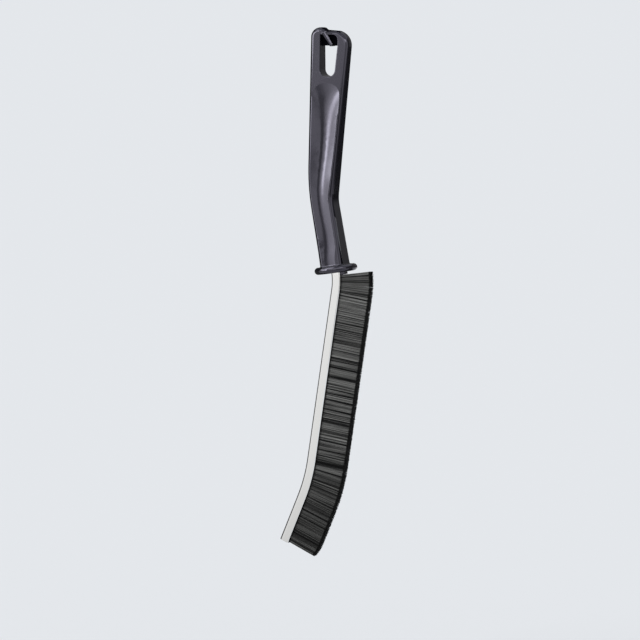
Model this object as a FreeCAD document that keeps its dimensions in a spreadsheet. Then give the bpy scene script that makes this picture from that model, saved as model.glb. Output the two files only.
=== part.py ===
import FreeCAD, Part
import math
import os
import Sketcher

Vector = FreeCAD.Vector

# Points closer than this are one point, and faces within this tilt of the flat are the broad ones.
SAME_POINT = 1e-4
BROAD_TILT = math.radians(20)

# The brush hangs upright: the hang point in the loop's slot is the origin, +Z runs up the handle,
# +X points the way the bristles point, and the brush is symmetric about the plane Y = 0.
# Lengths are in millimetres and angles in degrees.
SIZES = (
    ("overrun", 1.0, "how far every cut runs past the surface it starts on"),
    ("upper_lean", 3.48, "lean of the grip above the bend, angle to the vertical"),
    ("lower_lean", 10.5, "lean of the neck below the bend, angle to the vertical"),
    ("loop_shift", 0.02, "grip axis behind the hang point"),
    ("loop_crown", 6.65, "hang point up to the end of the loop"),
    ("bend_drop", 64.0, "hang point down to the bend"),
    ("bend_skew", 23.9, "slant of the line across the bend from corner to corner, angle"),
    ("bend_inner_radius", 18.0, "rounding of the bend on the bristle side"),
    ("bend_outer_radius", 95.0, "rounding of the bend on the back"),
    ("neck_length", 33.5, "bend to the middle of the finger guard"),
    ("loop_width", 18.9, "width of the hang loop"),
    ("grip_width", 12.0, "width of the grip at the bend, measured level"),
    ("neck_width", 10.7, "width of the neck at the guard"),
    ("loop_thick", 5.6, "thickness at the hang loop"),
    ("neck_thick", 10.5, "thickness at the guard"),
    ("edge_bevel", 1.2, "bevel along the edges of both faces"),
    ("corner_radius", 6.3, "rounded corner of the loop on the bristle side"),
    ("shoulder_radius", 4.2, "rounded shoulder where the loop curls over"),
    ("knuckle_rise", 0.9, "height of the curled-over knuckle above the loop's end"),
    ("knuckle_width", 7.0, "width of the knuckle"),
    ("knuckle_radius", 1.45, "rounding of the knuckle's inner end"),
    ("slot_width", 8.2, "hang slot at the hang point"),
    ("slot_foot_width", 6.75, "hang slot near its foot"),
    ("slot_length", 13.3, "hang point down to the foot of the slot"),
    ("slot_rise", 4.85, "hang point up to the head of the slot"),
    ("slot_corner_radius", 2.2, "rounded head of the slot beside the finger"),
    ("finger_width", 2.4, "width of the hook finger at its root"),
    ("finger_taper", 3.0, "taper of the hook finger towards its tip, angle"),
    ("finger_thick", 6.4, "thickness of the hook finger, proud of both faces"),
    ("finger_lean", 33.0, "slant of the hook finger, angle to the vertical"),
    ("finger_offset", 2.1, "slot wall to the root of the finger's axis"),
    ("finger_root", 1.0, "depth of the finger's root in the loop's end"),
    ("finger_bevel", 0.8, "bevel along the finger's edges"),
    ("finger_tip_bevel", 0.3, "bevel round the finger's tip"),
    ("web_thick", 0.8, "web on the mid-plane that closes the head of the slot"),
    ("web_root", 0.3, "depth of the web's edges in the loop"),
    ("dish_depth", 0.9, "depth of the long dish in each face of the grip"),
    ("dish_lift", 0.6, "height above the face at which the dish sections are cut off"),
    ("guard_diameter", 18.7, "finger guard"),
    ("guard_thick", 3.1, "thickness of the guard with its round rim"),
    ("guard_lean", 8.2, "lean of the guard, angle to the level"),
    ("guard_fillet", 0.5, "rounding between the guard and the neck"),
    ("lug_reach", 2.3, "stop lug under the guard, out from the channel's mouth"),
    ("lug_thick", 3.0, "thickness of the stop lug"),
    ("lug_clearance", 0.22, "stop lug to the first bundle"),
    ("channel_thick", 3.4, "outer thickness of the folded channel"),
    ("channel_depth", 4.5, "back of the channel to its mouth"),
    ("channel_wall", 0.5, "steel the channel is folded from"),
    ("tang_depth", 22.0, "channel inside the handle, above the guard's middle"),
    ("exit_run", 0.5, "straight run below the guard's middle"),
    ("first_bend_radius", 24.9, "first bend of the head, on the core wire"),
    ("first_turn", 19.3, "turn of the first bend, angle"),
    ("main_run", 75.4, "straight run between the two bends"),
    ("second_bend_radius", 70.5, "second bend of the head, on the core wire"),
    ("second_turn", 14.3, "turn of the second bend, angle"),
    ("end_run", 21.2, "straight run after the second bend"),
    ("socket_clearance", 0.05, "play of the tang in its socket"),
    ("wire_diameter", 0.9, "core wire"),
    ("wire_setback", 0.5, "core wire short of the channel's lower end"),
    ("bristle_reach", 14.7, "mouth of the channel to the bristle tips"),
    ("tip_spread", 3.0, "thickness of the row of bristles at the tips"),
    ("fill_clearance", 0.08, "bristles to channel wall and to core wire"),
    ("bundle_gap", 0.06, "parting between neighbouring bundles"),
    ("bundle_count", 46, "bundles along the head, a count"),
    ("first_bundle_drop", 3.1, "guard's middle to the first bundle, along the wire"),
    ("last_bundle_margin", 0.6, "last bundle short of the channel's lower end"),
    ("end_splay", 2.0, "outward lean of the bristles at both ends, angle"),
    ("splay_length", 9.0, "stretch over which that lean dies out"),
    ("end_trim", 1.2, "tips shorter at both ends of the row"),
    ("trim_length", 6.0, "stretch over which that trim dies out"),
)

# Roundings of the slot's foot, as a share of its width there.
SLOT_ROUND_SHARE = 0.45

# Sections of the dish: run, share of that run's length away from the bend, depth as a share of dish_depth,
# and width at the cut-off height as a share of the handle's width.
DISH_SHARES = (
    ("upper", 0.72, -0.40, 1.30),
    ("upper", 0.60, 0.45, 1.28),
    ("upper", 0.42, 0.90, 1.14),
    ("upper", 0.20, 0.95, 1.11),
    ("bend", 0.00, 0.75, 1.09),
    ("lower", 0.35, 0.60, 1.12),
    ("lower", 0.68, 0.45, 1.18),
    ("lower", 1.02, 0.30, 1.18),
)

# Uneven bundles: width along the head and reach of the tips, repeated down the row.
BUNDLE_WIDTH_SHARES = (1.00, 0.86, 1.12, 0.94, 1.20, 0.90, 1.04, 0.82, 1.10, 1.00, 0.92)
BUNDLE_REACH_SHARES = (1.000, 0.984, 0.994, 0.976, 1.000, 0.988, 0.980)

doc = FreeCAD.newDocument("crevice_brush")
dims = doc.addObject("Spreadsheet::Sheet", "dims")
for row, (alias, number, note) in enumerate(SIZES, start=1):
    dims.set(f"A{row}", note)
    dims.set(f"B{row}", str(number))
    dims.setAlias(f"B{row}", alias)
doc.recompute()


def value(expression):
    return float(dims.evalExpression(expression))


def size(alias):
    return value(f"dims.{alias}")


# Places that several features share, written in the sheet's sizes.
BEND_X = "(-dims.loop_shift - dims.bend_drop * tan(dims.upper_lean))"
BEND_Z = "(-dims.bend_drop)"
GRIP_LENGTH = "((dims.bend_drop + dims.loop_crown) / cos(dims.upper_lean))"
HALF_SKEW = "((dims.lower_lean - dims.upper_lean) / 2)"
STRIP_OFFSET = "((dims.channel_depth - dims.channel_thick) / 2)"
MOUTH = "(dims.channel_depth - dims.channel_thick / 2)"


def on_grip(across, along):
    """A point across and up the grip's axis, from the bend."""
    x = f"({BEND_X} + ({along}) * sin(dims.upper_lean) + ({across}) * cos(dims.upper_lean))"
    z = f"({BEND_Z} + ({along}) * cos(dims.upper_lean) - ({across}) * sin(dims.upper_lean))"
    return x, z


def on_neck(across, along):
    """A point across and down the neck's axis, from the bend."""
    x = f"({BEND_X} + ({along}) * sin(dims.lower_lean) + ({across}) * cos(dims.lower_lean))"
    z = f"({BEND_Z} - ({along}) * cos(dims.lower_lean) + ({across}) * sin(dims.lower_lean))"
    return x, z


def on_bend(across):
    """A point on the slanted line across the bend, where the grip's and the neck's outlines meet."""
    return f"({BEND_X} + ({across}))", f"({BEND_Z} - ({across}) * tan(dims.bend_skew))"


GUARD_X, GUARD_Z = on_neck("0", "dims.neck_length")
STRIP_X, STRIP_Z = on_neck(f"-{STRIP_OFFSET}", "dims.neck_length")


def half_thickness(z):
    """Half the handle's thickness at a height, tapering straight from the guard to the loop."""
    slope = f"((dims.neck_thick - dims.loop_thick) / 2 / (dims.loop_crown - {GUARD_Z}))"
    return f"(dims.loop_thick / 2 + {slope} * (dims.loop_crown - ({z})))"


def new_body(label):
    body = doc.addObject("PartDesign::Body", label)
    body.Label = label
    return body


def new_sketch(body, name, role, base=None, axis=None, angle=None):
    """A sketch on one of the body's origin planes, moved and turned by bound offsets."""
    plane = next(feature for feature in body.Origin.OriginFeatures if feature.Role == role)
    sketch = body.newObject("Sketcher::SketchObject", name)
    sketch.AttachmentSupport = (plane, [""])
    sketch.MapMode = "FlatFace"
    if axis is not None:
        turned = FreeCAD.Rotation(axis, value(angle))
        sketch.AttachmentOffset = FreeCAD.Placement(Vector(), turned)
        sketch.setExpression("AttachmentOffset.Rotation.Angle", angle)
    if base is not None:
        for key, expression in zip("xyz", base):
            if expression != "0":
                sketch.setExpression(f"AttachmentOffset.Base.{key}", expression)
    return sketch


def bind(sketch, constraint, expression):
    index = sketch.addConstraint(constraint)
    sketch.setExpression(f"Constraints[{index}]", expression)


def pin(sketch, geometry, end, point):
    """Holds an end of a line or arc at a bound place of the sketch."""
    for kind, axis, expression in zip(("DistanceX", "DistanceY"), (-2, -1), point):
        if expression == "0":
            sketch.addConstraint(Sketcher.Constraint("PointOnObject", geometry, end, axis))
        else:
            bind(sketch, Sketcher.Constraint(kind, -1, 1, geometry, end, value(expression)), expression)


def place(point):
    return Vector(value(point[0]), value(point[1]), 0)


def draw_polygon(sketch, points):
    """A closed outline of straight lines through bound points."""
    first = sketch.GeometryCount
    count = len(points)
    for index, point in enumerate(points):
        following = points[(index + 1) % count]
        sketch.addGeometry(Part.LineSegment(place(point), place(following)), False)
    for index, point in enumerate(points):
        following = first + (index + 1) % count
        sketch.addConstraint(Sketcher.Constraint("Coincident", first + index, 2, following, 1))
        pin(sketch, first + index, 1, point)


def edge_names(shape, wanted):
    return [f"Edge{index}" for index, edge in enumerate(shape.Edges, start=1) if wanted(edge)]


def cross_edges(shape, points):
    """Names of the edges that run across the handle through the given outline points."""
    places = [place(point) for point in points]

    def wanted(edge):
        ends = [vertex.Point for vertex in edge.Vertexes]
        if len(ends) != 2 or math.hypot(ends[0].x - ends[1].x, ends[0].z - ends[1].z) > SAME_POINT:
            return False
        return any(math.hypot(ends[0].x - spot.x, ends[0].z - spot.y) < SAME_POINT for spot in places)

    return edge_names(shape, wanted)


def dress(body, kind, name, names, key, expression):
    """A fillet or chamfer on named edges of the body as it stands."""
    feature = body.newObject(f"PartDesign::{kind}", name)
    feature.Base = (feature.BaseFeature, names)
    feature.setExpression(key, expression)
    doc.recompute()
    return feature


def face_rim_edges(shape, below):
    """Edges round both flat faces of the handle blank, apart from those at the neck's foot."""
    broad = [face for face in shape.Faces if abs(face.normalAt(0, 0).y) > math.cos(BROAD_TILT)]
    rims = [edge for face in broad for edge in face.OuterWire.Edges]

    def wanted(edge):
        if not any(edge.isSame(rim) for rim in rims):
            return False
        return max(vertex.Point.z for vertex in edge.Vertexes) > below

    return edge_names(shape, wanted)


def add_handle_blank(body):
    """The handle's outline as a tapering slab with bevelled edges."""
    loop_left = "(-dims.loop_width / 2)"
    knuckle_top = f"({GRIP_LENGTH} + dims.knuckle_rise)"
    foot_left = on_neck("-dims.neck_width / 2", "dims.neck_length")
    foot_right = on_neck("dims.neck_width / 2", "dims.neck_length")
    bend_right = on_bend("dims.grip_width / 2")
    corner = on_grip("dims.loop_width / 2", GRIP_LENGTH)
    knuckle_foot = on_grip(f"{loop_left} + dims.knuckle_width", GRIP_LENGTH)
    knuckle_end = on_grip(f"{loop_left} + dims.knuckle_width - dims.knuckle_rise", knuckle_top)
    shoulder = on_grip(loop_left, knuckle_top)
    bend_left = on_bend("-dims.grip_width / 2")

    outline = new_sketch(body, "handle_outline", "XZ_Plane")
    corners = [foot_left, foot_right, bend_right, corner, knuckle_foot, knuckle_end, shoulder, bend_left]
    draw_polygon(outline, corners)
    blank = body.newObject("PartDesign::Pad", "handle_blank")
    blank.Profile = outline
    blank.SideType = "Symmetric"
    blank.setExpression("Length", "dims.neck_thick + 2 * dims.overrun")
    doc.recompute()

    rounded = (
        ("bend_inside", [bend_right], "dims.bend_inner_radius"),
        ("bend_outside", [bend_left], "dims.bend_outer_radius"),
        ("loop_corner", [corner], "dims.corner_radius"),
        ("loop_shoulder", [shoulder], "dims.shoulder_radius"),
        ("knuckle_round", [knuckle_foot, knuckle_end], "dims.knuckle_radius"),
    )
    for name, points, radius in rounded:
        dress(body, "Fillet", name, cross_edges(body.Tip.Shape, points), "Radius", radius)

    low = f"({GUARD_Z} - dims.neck_width)"
    high = "(dims.loop_crown + dims.knuckle_rise + 2 * dims.overrun)"
    outside = "(dims.neck_thick / 2 + 2 * dims.overrun)"
    wedges = new_sketch(body, "thickness_taper", "YZ_Plane")
    for side in ("-", ""):
        draw_polygon(wedges, [
            (f"{side}{half_thickness(low)}", low),
            (f"{side}{outside}", low),
            (f"{side}{outside}", high),
            (f"{side}{half_thickness(high)}", high),
        ])
    taper = body.newObject("PartDesign::Pocket", "thickness_cut")
    taper.Profile = wedges
    taper.SideType = "Symmetric"
    taper.setExpression("Length", "4 * dims.loop_width")
    doc.recompute()

    neck_foot = value(GUARD_Z) + size("neck_width") / 2
    rims = face_rim_edges(body.Tip.Shape, neck_foot)
    dress(body, "Chamfer", "edge_bevels", rims, "Size", "dims.edge_bevel")


def dish_section(body, index, run, share, depth_share, width_share):
    """One cross-section of the dish: an arc into the face, closed off above it."""
    grip_span = f"({share} * {GRIP_LENGTH})"
    neck_span = f"({share} * dims.neck_length)"
    if run == "upper":
        middle = on_grip("0", grip_span)
        axis, angle = Vector(0, 1, 0), "dims.upper_lean"
        width = f"(dims.grip_width + (dims.loop_width - dims.grip_width) * {share})"
    elif run == "lower":
        middle = on_neck("0", neck_span)
        axis, angle = Vector(0, -1, 0), "dims.lower_lean"
        width = f"(dims.grip_width + (dims.neck_width - dims.grip_width) * {share})"
    else:
        middle = on_bend("0")
        axis, angle = Vector(0, -1, 0), HALF_SKEW
        width = "dims.grip_width"
    sketch = new_sketch(body, f"dish_section_{index}", "XY_Plane", (middle[0], "0", middle[1]), axis, angle)
    half = f"({width} / 2 * {width_share})"
    height = f"(dims.dish_lift + dims.dish_depth * {depth_share})"
    radius = f"(({half} ^ 2 + {height} ^ 2) / (2 * {height}))"
    edge = f"(-{half_thickness(middle[1])} - dims.dish_lift)"
    lid = f"({edge} - dims.overrun)"
    centre = Vector(0, value(f"{edge} + {height} - {radius}"), 0)
    spread = math.asin(value(f"{half} / {radius}"))
    circle = Part.Circle(centre, Vector(0, 0, 1), value(radius))
    sketch.addGeometry(Part.ArcOfCircle(circle, math.pi / 2 - spread, math.pi / 2 + spread), False)
    corners = [(half, edge), (half, lid), (f"-{half}", lid), (f"-{half}", edge)]
    for start, end in zip(corners, corners[1:]):
        sketch.addGeometry(Part.LineSegment(place(start), place(end)), False)
    sketch.addConstraint(Sketcher.Constraint("Coincident", 0, 1, 1, 1))
    sketch.addConstraint(Sketcher.Constraint("Coincident", 1, 2, 2, 1))
    sketch.addConstraint(Sketcher.Constraint("Coincident", 2, 2, 3, 1))
    sketch.addConstraint(Sketcher.Constraint("Coincident", 3, 2, 0, 2))
    pin(sketch, 1, 1, corners[0])
    pin(sketch, 2, 1, corners[1])
    pin(sketch, 3, 1, corners[2])
    pin(sketch, 3, 2, corners[3])
    bind(sketch, Sketcher.Constraint("Radius", 0, value(radius)), radius)
    return sketch


def add_dishes(body):
    """The long dish in the front face and its mirror in the back face."""
    sections = [dish_section(body, index, *shares) for index, shares in enumerate(DISH_SHARES, start=1)]
    doc.recompute()
    dish = body.newObject("PartDesign::SubtractiveLoft", "front_dish")
    dish.Profile = sections[0]
    dish.Sections = sections[1:]
    doc.recompute()
    mirror = body.newObject("PartDesign::Mirrored", "back_dish")
    mirror.Originals = [dish]
    plane = next(feature for feature in body.Origin.OriginFeatures if feature.Role == "XZ_Plane")
    mirror.MirrorPlane = (plane, [""])
    body.Tip = mirror
    doc.recompute()


def add_hang_slot(body):
    """The slot through the loop, wider at the top, with a rounded foot."""
    left = "(-dims.slot_width / 2)"
    right = "(dims.slot_width / 2)"
    foot_right = f"({left} + dims.slot_foot_width)"
    head = [(right, "dims.slot_rise")]
    foot = [(left, "-dims.slot_length"), (foot_right, "-dims.slot_length")]
    sketch = new_sketch(body, "slot_outline", "XZ_Plane")
    draw_polygon(sketch, foot + [(right, "0")] + head + [(left, "dims.slot_rise")])
    slot = body.newObject("PartDesign::Pocket", "hang_slot")
    slot.Profile = sketch
    slot.SideType = "Symmetric"
    slot.setExpression("Length", "2 * dims.neck_thick")
    doc.recompute()
    dress(body, "Fillet", "slot_foot", cross_edges(body.Tip.Shape, foot), "Radius",
          f"{SLOT_ROUND_SHARE} * dims.slot_foot_width")
    dress(body, "Fillet", "slot_head", cross_edges(body.Tip.Shape, head), "Radius", "dims.slot_corner_radius")


def add_hook_finger(body):
    """The bevelled finger that comes down from the knuckle into the head of the slot."""
    root_x = "(dims.finger_offset - dims.slot_width / 2 - dims.finger_root * tan(dims.finger_lean))"
    root = (root_x, "0", "dims.slot_rise + dims.finger_root")
    sketch = new_sketch(body, "finger_section", "XY_Plane", root, Vector(0, -1, 0), "dims.finger_lean")
    wide, thick = "(dims.finger_width / 2)", "(dims.finger_thick / 2)"
    wide_flat, thick_flat = f"({wide} - dims.finger_bevel)", f"({thick} - dims.finger_bevel)"
    draw_polygon(sketch, [
        (wide_flat, f"-{thick}"), (wide, f"-{thick_flat}"), (wide, thick_flat), (wide_flat, thick),
        (f"-{wide_flat}", thick), (f"-{wide}", thick_flat), (f"-{wide}", f"-{thick_flat}"),
        (f"-{wide_flat}", f"-{thick}"),
    ])
    finger = body.newObject("PartDesign::Pad", "hook_finger")
    finger.Profile = sketch
    finger.Reversed = True
    finger.setExpression("Length", "(dims.slot_rise + dims.finger_root) / cos(dims.finger_lean)")
    finger.setExpression("TaperAngle", "-dims.finger_taper")
    doc.recompute()
    tip = min((face for face in body.Tip.Shape.Faces if len(face.Edges) == 8),
              key=lambda face: (face.CenterOfMass - Vector()).Length)

    def wanted(edge):
        return any(edge.isSame(rim) for rim in tip.Edges)

    dress(body, "Chamfer", "finger_tip", edge_names(body.Tip.Shape, wanted), "Size", "dims.finger_tip_bevel")


def add_slot_web(body):
    """The web across the head of the slot, round the finger: the brush hangs on its foot."""
    sketch = new_sketch(body, "web_outline", "XZ_Plane")
    half = "(dims.slot_width / 2 + dims.web_root)"
    top = "(dims.slot_rise + dims.web_root)"
    draw_polygon(sketch, [(f"-{half}", "0"), (half, "0"), (half, top), (f"-{half}", top)])
    web = body.newObject("PartDesign::Pad", "slot_web")
    web.Profile = sketch
    web.SideType = "Symmetric"
    web.setExpression("Length", "dims.web_thick")
    doc.recompute()


def add_guard(body):
    """The round finger guard at the neck's foot, with a full-round rim."""
    base = (GUARD_X, GUARD_Z, "0")
    sketch = new_sketch(body, "guard_section", "XZ_Plane", base, Vector(0, 0, 1), "dims.guard_lean")
    half = "(dims.guard_thick / 2)"
    flat = "(dims.guard_diameter / 2 - dims.guard_thick / 2)"
    corners = [(flat, half), ("0", half), ("0", f"-{half}"), (flat, f"-{half}")]
    for start, end in zip(corners, corners[1:]):
        sketch.addGeometry(Part.LineSegment(place(start), place(end)), False)
    rim = Part.Circle(Vector(value(flat), 0, 0), Vector(0, 0, 1), value(half))
    sketch.addGeometry(Part.ArcOfCircle(rim, -math.pi / 2, math.pi / 2), False)
    for line in (0, 1):
        sketch.addConstraint(Sketcher.Constraint("Coincident", line, 2, line + 1, 1))
        pin(sketch, line, 1, corners[line])
    pin(sketch, 2, 1, corners[2])
    pin(sketch, 2, 2, corners[3])
    sketch.addConstraint(Sketcher.Constraint("Coincident", 2, 2, 3, 1))
    sketch.addConstraint(Sketcher.Constraint("Coincident", 0, 1, 3, 2))
    bind(sketch, Sketcher.Constraint("DistanceX", -1, 1, 3, 3, value(flat)), flat)
    guard = body.newObject("PartDesign::Revolution", "finger_guard")
    guard.Profile = sketch
    guard.ReferenceAxis = (sketch, ["V_Axis"])
    guard.Angle = 360
    doc.recompute()


def add_guard_fillet(body):
    """The small rounding where the neck stands on the guard."""
    lean = math.radians(size("guard_lean"))
    up = Vector(-math.sin(lean), 0, math.cos(lean))
    middle = Vector(value(GUARD_X), 0, value(GUARD_Z))
    height = size("guard_thick") / 2
    reach = size("guard_diameter") / 2 - size("guard_thick") / 2

    def wanted(edge):
        spots = [vertex.Point - middle for vertex in edge.Vertexes]
        level = all(abs(spot.dot(up) - height) < SAME_POINT for spot in spots)
        return len(spots) == 2 and level and all(spot.Length < reach for spot in spots)

    dress(body, "Fillet", "guard_round", edge_names(body.Tip.Shape, wanted), "Radius", "dims.guard_fillet")


def add_stop_lug(body):
    """The lug under the guard that closes the channel's mouth above the first bundle."""
    base = (GUARD_X, GUARD_Z, "0")
    sketch = new_sketch(body, "lug_outline", "XZ_Plane", base, Vector(0, 0, 1), "dims.lower_lean")
    near = f"({MOUTH} - {STRIP_OFFSET} + dims.socket_clearance)"
    far = f"({near} + dims.lug_reach)"
    foot = "(dims.lug_clearance - dims.first_bundle_drop)"
    draw_polygon(sketch, [(near, "0"), (near, foot), (far, foot), (far, "0")])
    lug = body.newObject("PartDesign::Pad", "stop_lug")
    lug.Profile = sketch
    lug.SideType = "Symmetric"
    lug.setExpression("Length", "dims.lug_thick")
    doc.recompute()


def add_socket(body):
    """The blind socket in the neck that takes the channel's tang."""
    drop = "(dims.neck_length + dims.guard_thick / 2 + dims.overrun)"
    mouth = on_neck(f"-{STRIP_OFFSET}", drop)
    base = (mouth[0], "0", mouth[1])
    sketch = new_sketch(body, "socket_section", "XY_Plane", base, Vector(0, -1, 0), "dims.lower_lean")
    half = "(dims.channel_thick / 2 + dims.socket_clearance)"
    front = f"({MOUTH} + dims.socket_clearance)"
    corners = [("0", f"-{half}"), (front, f"-{half}"), (front, half), ("0", half)]
    for start, end in zip(corners, corners[1:]):
        sketch.addGeometry(Part.LineSegment(place(start), place(end)), False)
    back = Part.Circle(Vector(), Vector(0, 0, 1), value(half))
    sketch.addGeometry(Part.ArcOfCircle(back, math.pi / 2, 3 * math.pi / 2), False)
    for line in range(3):
        pin(sketch, line, 1, corners[line])
        if line:
            sketch.addConstraint(Sketcher.Constraint("Coincident", line - 1, 2, line, 1))
    pin(sketch, 2, 2, corners[3])
    sketch.addConstraint(Sketcher.Constraint("Coincident", 2, 2, 3, 1))
    sketch.addConstraint(Sketcher.Constraint("Coincident", 0, 1, 3, 2))
    sketch.addConstraint(Sketcher.Constraint("PointOnObject", 3, 3, -2))
    socket = body.newObject("PartDesign::Pocket", "tang_socket")
    socket.Profile = sketch
    socket.Reversed = True
    depth = "dims.tang_depth + dims.guard_thick / 2 + dims.overrun + dims.socket_clearance"
    socket.setExpression("Length", depth)
    doc.recompute()


def make_handle():
    body = new_body("handle")
    add_handle_blank(body)
    add_dishes(body)
    add_hang_slot(body)
    add_hook_finger(body)
    add_slot_web(body)
    add_guard(body)
    add_guard_fillet(body)
    add_stop_lug(body)
    solid = body.Tip.Shape.Volume
    add_socket(body)
    if body.Tip.Shape.Volume >= solid:
        raise RuntimeError("the tang socket cut nothing")
    return body


def set_strip_placement(piece):
    """The head's pieces share one place: on the neck's axis at the guard's middle, leaning with the neck."""
    turned = FreeCAD.Rotation(Vector(0, -1, 0), size("lower_lean"))
    piece.Placement = FreeCAD.Placement(Vector(value(STRIP_X), 0, value(STRIP_Z)), turned)
    piece.setExpression("Placement.Base.x", STRIP_X)
    piece.setExpression("Placement.Base.z", STRIP_Z)
    piece.setExpression("Placement.Rotation.Angle", "dims.lower_lean")


def add_head_path(body, name, end_run):
    """The line of the core wire: tang, first bend, main run, second bend and end run."""
    sketch = new_sketch(body, name, "XZ_Plane")
    points = [head_frame(spot) for spot in head_stations(value(end_run))]
    spots = [Vector(x, z, 0) for x, z, turn in points]
    first, second = size("first_bend_radius"), size("second_bend_radius")
    turn_one = math.radians(size("first_turn"))
    turn_both = turn_one + math.radians(size("second_turn"))
    centre_one = spots[1] - Vector(first, 0, 0)
    centre_two = spots[3] - Vector(math.cos(turn_one), -math.sin(turn_one), 0) * second
    sketch.addGeometry(Part.LineSegment(spots[0], spots[1]), False)
    circle = Part.Circle(centre_one, Vector(0, 0, 1), first)
    sketch.addGeometry(Part.ArcOfCircle(circle, -turn_one, 0), False)
    sketch.addGeometry(Part.LineSegment(spots[2], spots[3]), False)
    circle = Part.Circle(centre_two, Vector(0, 0, 1), second)
    sketch.addGeometry(Part.ArcOfCircle(circle, -turn_both, -turn_one), False)
    sketch.addGeometry(Part.LineSegment(spots[4], spots[5]), False)
    for line, line_end, arc, arc_end in ((0, 2, 1, 2), (2, 1, 1, 1), (2, 2, 3, 2), (4, 1, 3, 1)):
        sketch.addConstraint(Sketcher.Constraint("Tangent", line, line_end, arc, arc_end))
    pin(sketch, 0, 1, ("0", "dims.tang_depth"))
    pin(sketch, 0, 2, ("0", "-dims.exit_run"))
    bind(sketch, Sketcher.Constraint("Radius", 1, first), "dims.first_bend_radius")
    bind(sketch, Sketcher.Constraint("Radius", 3, second), "dims.second_bend_radius")
    bind(sketch, Sketcher.Constraint("Angle", 1, turn_one), "dims.first_turn * 1 deg")
    bind(sketch, Sketcher.Constraint("Angle", 3, turn_both - turn_one), "dims.second_turn * 1 deg")
    bind(sketch, Sketcher.Constraint("Distance", 2, size("main_run")), "dims.main_run")
    bind(sketch, Sketcher.Constraint("Distance", 4, value(end_run)), end_run)
    return sketch


def head_stations(end_run):
    """Distances along the core wire from the guard's middle: the ends of every run and bend."""
    lengths = (
        size("exit_run"),
        size("first_bend_radius") * math.radians(size("first_turn")),
        size("main_run"),
        size("second_bend_radius") * math.radians(size("second_turn")),
        end_run,
    )
    stations = [-size("tang_depth")]
    total = 0
    for length in lengths:
        total += length
        stations.append(total)
    return stations


def head_frame(distance):
    """Place on the core wire at a distance from the guard's middle, with the turn of its line in radians."""
    runs = (
        (size("exit_run"), 0),
        (size("first_bend_radius") * math.radians(size("first_turn")), size("first_bend_radius")),
        (size("main_run"), 0),
        (size("second_bend_radius") * math.radians(size("second_turn")), size("second_bend_radius")),
        (math.inf, 0),
    )
    x, z, turn = 0, 0, 0
    left = distance
    for length, radius in runs:
        step = min(left, length)
        if radius:
            following = turn + step / radius
            x += radius * (math.cos(following) - math.cos(turn))
            z -= radius * (math.sin(following) - math.sin(turn))
            turn = following
        else:
            x -= step * math.sin(turn)
            z -= step * math.cos(turn)
        left -= step
        if left <= 0:
            break
    return x, z, turn


def sweep(body, name, profile, path):
    pipe = body.newObject("PartDesign::AdditivePipe", name)
    pipe.Profile = profile
    pipe.Spine = path
    doc.recompute()
    return pipe


def make_channel():
    """The steel strip folded to a U, round at its back, along the core wire's line."""
    body = new_body("steel_channel")
    path = add_head_path(body, "channel_path", "dims.end_run")
    sketch = new_sketch(body, "channel_section", "XY_Plane", ("0", "0", "dims.tang_depth"))
    outer = "(dims.channel_thick / 2)"
    inner = "(dims.channel_thick / 2 - dims.channel_wall)"
    rails = [(("0", f"-{outer}"), (MOUTH, f"-{outer}")), ((MOUTH, f"-{outer}"), (MOUTH, f"-{inner}")),
             ((MOUTH, f"-{inner}"), ("0", f"-{inner}")), (("0", inner), (MOUTH, inner)),
             ((MOUTH, inner), (MOUTH, outer)), ((MOUTH, outer), ("0", outer))]
    for start, end in rails:
        sketch.addGeometry(Part.LineSegment(place(start), place(end)), False)
    for radius in (outer, inner):
        circle = Part.Circle(Vector(), Vector(0, 0, 1), value(radius))
        sketch.addGeometry(Part.ArcOfCircle(circle, math.pi / 2, 3 * math.pi / 2), False)
    for first, second in ((0, 1), (1, 2), (3, 4), (4, 5)):
        sketch.addConstraint(Sketcher.Constraint("Coincident", first, 2, second, 1))
    for line, end in ((0, 1), (1, 1), (2, 1), (3, 1), (4, 1), (5, 1)):
        pin(sketch, line, end, rails[line][end - 1])
    pin(sketch, 2, 2, rails[2][1])
    pin(sketch, 5, 2, rails[5][1])
    sketch.addConstraint(Sketcher.Constraint("Coincident", 5, 2, 6, 1))
    sketch.addConstraint(Sketcher.Constraint("Coincident", 0, 1, 6, 2))
    sketch.addConstraint(Sketcher.Constraint("Coincident", 3, 1, 7, 1))
    sketch.addConstraint(Sketcher.Constraint("Coincident", 2, 2, 7, 2))
    for arc in (6, 7):
        sketch.addConstraint(Sketcher.Constraint("PointOnObject", arc, 3, -2))
    doc.recompute()
    sweep(body, "channel_fold", sketch, path)
    set_strip_placement(body)
    return body


def make_core_wire():
    """The round wire that the filaments are folded over."""
    body = new_body("core_wire")
    path = add_head_path(body, "wire_path", "(dims.end_run - dims.wire_setback)")
    sketch = new_sketch(body, "wire_section", "XY_Plane", ("0", "0", "dims.tang_depth"))
    radius = "(dims.wire_diameter / 2)"
    sketch.addGeometry(Part.Circle(Vector(), Vector(0, 0, 1), value(radius)), False)
    sketch.addConstraint(Sketcher.Constraint("Coincident", 0, 3, -1, 1))
    bind(sketch, Sketcher.Constraint("Radius", 0, value(radius)), radius)
    doc.recompute()
    sweep(body, "wire_run", sketch, path)
    set_strip_placement(body)
    return body


def splay_at(distance, start, end):
    """Outward lean of the bristles near either end of the row, in radians."""
    fade = size("splay_length")
    lean = math.radians(size("end_splay"))
    return lean * (max(0, 1 - (end - distance) / fade) - max(0, 1 - (distance - start) / fade))


def trim_at(distance, start, end):
    """How much shorter the tips are near either end of the row."""
    near = min(distance - start, end - distance)
    return size("end_trim") * max(0, 1 - near / size("trim_length"))


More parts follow.
